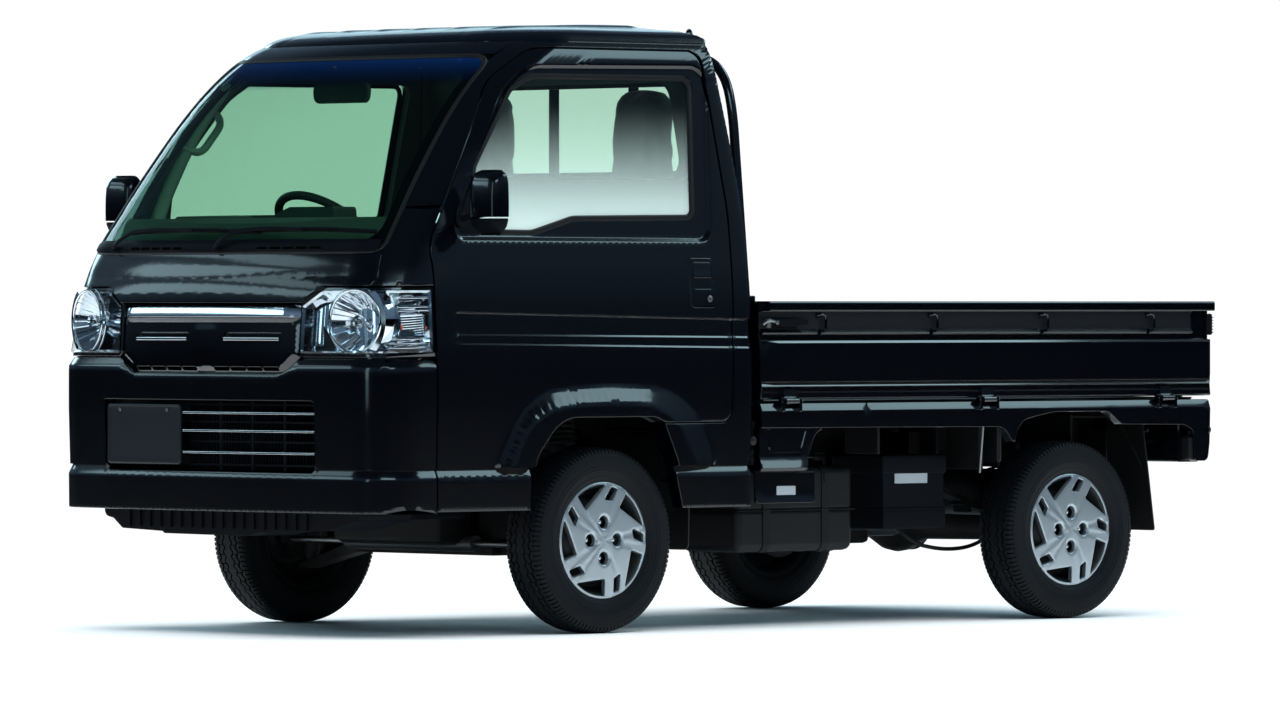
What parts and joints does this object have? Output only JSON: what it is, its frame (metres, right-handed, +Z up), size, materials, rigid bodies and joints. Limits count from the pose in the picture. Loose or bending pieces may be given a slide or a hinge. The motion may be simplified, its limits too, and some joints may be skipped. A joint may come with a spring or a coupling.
{
  "type": "kei truck",
  "caption": "Small cab-over pickup truck: black cab with hinged doors, steered front wheels and a flat bed with fold-down side and rear gates behind a guard frame.",
  "frame": {"origin": "on the ground under the middle of the overall length and width", "axes": "+Z up, nose towards -Y, +X the vehicle's left side"},
  "size_m": [1.736, 3.395, 1.7449],
  "materials": {
    "body_paint": "gloss",
    "body_inner": "satin",
    "bed_paint": "gloss",
    "frame_paint": "satin",
    "black_metal": "matt",
    "spring_steel": "painted black",
    "cast_parts": "as cast",
    "alloy": "as cast",
    "tank_steel": "satin",
    "plate_plastic": "moulded",
    "grille_plastic": "moulded",
    "lamp_lens": "clear",
    "red_lens": "moulded",
    "tinted_glass": "green tint",
    "interior_plastic": "grained",
    "seat_fabric": "woven",
    "black_plastic": "moulded",
    "black_rubber": "moulded",
    "tyre_rubber": "moulded",
    "wheel_cover": "silver paint"
  },
  "bodies": {
    "chassis": {"frame_rails": "frame_paint", "cross_members": "frame_paint", "front_subframe": "frame_paint", "front_struts": "spring_steel", "lower_arms": "cast_parts", "rack_housing": "alloy", "cab_floor": "body_inner", "front_bumper": "body_paint", "number_plate": "plate_plastic", "grille": "grille_plastic", "nose_panel": "body_paint", "headlights": "lamp_lens", "side_frame_left": "body_paint", "side_frame_right": "body_paint", "roof_panel": "body_paint", "back_panel": "body_paint", "windscreen": "tinted_glass", "rear_window": "tinted_glass", "dashboard": "interior_plastic", "steering_column": "interior_plastic", "seats": "seat_fabric", "wipers": "black_metal", "bed_floor": "bed_paint", "bed_sills": "body_paint", "bed_front_wall": "body_paint", "rear_beam": "body_paint", "guard_frame": "body_paint", "tail_lights": "red_lens", "mudguards": "black_rubber", "rear_axle": "cast_parts", "leaf_springs": "spring_steel", "engine": "alloy", "fuel_tank": "tank_steel", "battery_box": "black_plastic", "exhaust": "tank_steel", "brake_cable": "black_rubber"},
    "door_left": {"door_left": "body_paint", "door_glass_left": "tinted_glass", "mirror_left": "black_plastic"},
    "door_right": {"door_right": "body_paint", "door_glass_right": "tinted_glass", "mirror_right": "black_plastic"},
    "gate_left": {"gate_left": "body_paint"},
    "gate_right": {"gate_right": "body_paint"},
    "tailgate": {"tailgate": "body_paint"},
    "knuckle_left": {"knuckle_left": "cast_parts"},
    "knuckle_right": {"knuckle_right": "cast_parts"},
    "steering_rack": {"tie_rods": "cast_parts"},
    "steering_wheel": {"steering_wheel": "interior_plastic"},
    "wheel_front_left": {"tyre_front_left": "tyre_rubber", "rim_front_left": "wheel_cover"},
    "wheel_front_right": {"tyre_front_right": "tyre_rubber", "rim_front_right": "wheel_cover"},
    "wheel_rear_left": {"tyre_rear_left": "tyre_rubber", "rim_rear_left": "wheel_cover"},
    "wheel_rear_right": {"tyre_rear_right": "tyre_rubber", "rim_rear_right": "wheel_cover"}
  },
  "joints": [
    {"name": "steering", "type": "hinge", "parent": "chassis", "child": "knuckle_left", "pos_m": [0.575, -0.8, 0.19], "axis": [-0.1831, 0, 0.9831], "range_deg": [-36, 36]},
    {"name": "steering_right", "type": "hinge", "parent": "chassis", "child": "knuckle_right", "pos_m": [-0.575, -0.8, 0.19], "axis": [0.1831, 0, 0.9831], "range_deg": [-36, 36]},
    {"name": "steering_wheel_turn", "type": "hinge", "parent": "chassis", "child": "steering_wheel", "pos_m": [-0.34, -0.92, 1.139], "axis": [0, 0.6691, 0.7431], "range_deg": [-650, 650]},
    {"name": "rack_slide", "type": "slide", "parent": "chassis", "child": "steering_rack", "axis": [1, 0, 0], "range_m": [-0.066, 0.066]},
    {"name": "door_left_hinge", "type": "hinge", "parent": "chassis", "child": "door_left", "pos_m": [0.7375, -1.449, 0.75], "axis": [0, 0, -1], "range_deg": [0, 65]},
    {"name": "door_right_hinge", "type": "hinge", "parent": "chassis", "child": "door_right", "pos_m": [-0.7375, -1.449, 0.75], "axis": [0, 0, 1], "range_deg": [0, 65]},
    {"name": "gate_left_hinge", "type": "hinge", "parent": "chassis", "child": "gate_left", "pos_m": [0.744, 0.75, 0.659], "axis": [0, 1, 0], "range_deg": [0, 175]},
    {"name": "gate_right_hinge", "type": "hinge", "parent": "chassis", "child": "gate_right", "pos_m": [-0.744, 0.75, 0.659], "axis": [0, -1, 0], "range_deg": [0, 175]},
    {"name": "tailgate_hinge", "type": "hinge", "parent": "chassis", "child": "tailgate", "pos_m": [0, 1.689, 0.659], "axis": [-1, 0, 0], "range_deg": [0, 175]},
    {"name": "wheel_front_left_spin", "type": "hinge", "parent": "knuckle_left", "child": "wheel_front_left", "pos_m": [0.645, -0.8, 0.266], "axis": [1, 0, 0], "continuous": true},
    {"name": "wheel_front_right_spin", "type": "hinge", "parent": "knuckle_right", "child": "wheel_front_right", "pos_m": [-0.645, -0.8, 0.266], "axis": [1, 0, 0], "continuous": true},
    {"name": "wheel_rear_left_spin", "type": "hinge", "parent": "chassis", "child": "wheel_rear_left", "pos_m": [0.645, 1.1, 0.266], "axis": [1, 0, 0], "continuous": true},
    {"name": "wheel_rear_right_spin", "type": "hinge", "parent": "chassis", "child": "wheel_rear_right", "pos_m": [-0.645, 1.1, 0.266], "axis": [1, 0, 0], "continuous": true}
  ],
  "couplings": [
    {"joint": "steering_right", "follows": "steering", "ratio": 1},
    {"joint": "steering_wheel_turn", "follows": "steering", "ratio": 18},
    {"joint": "rack_slide", "follows": "steering", "m_per_rad": 0.103}
  ]
}
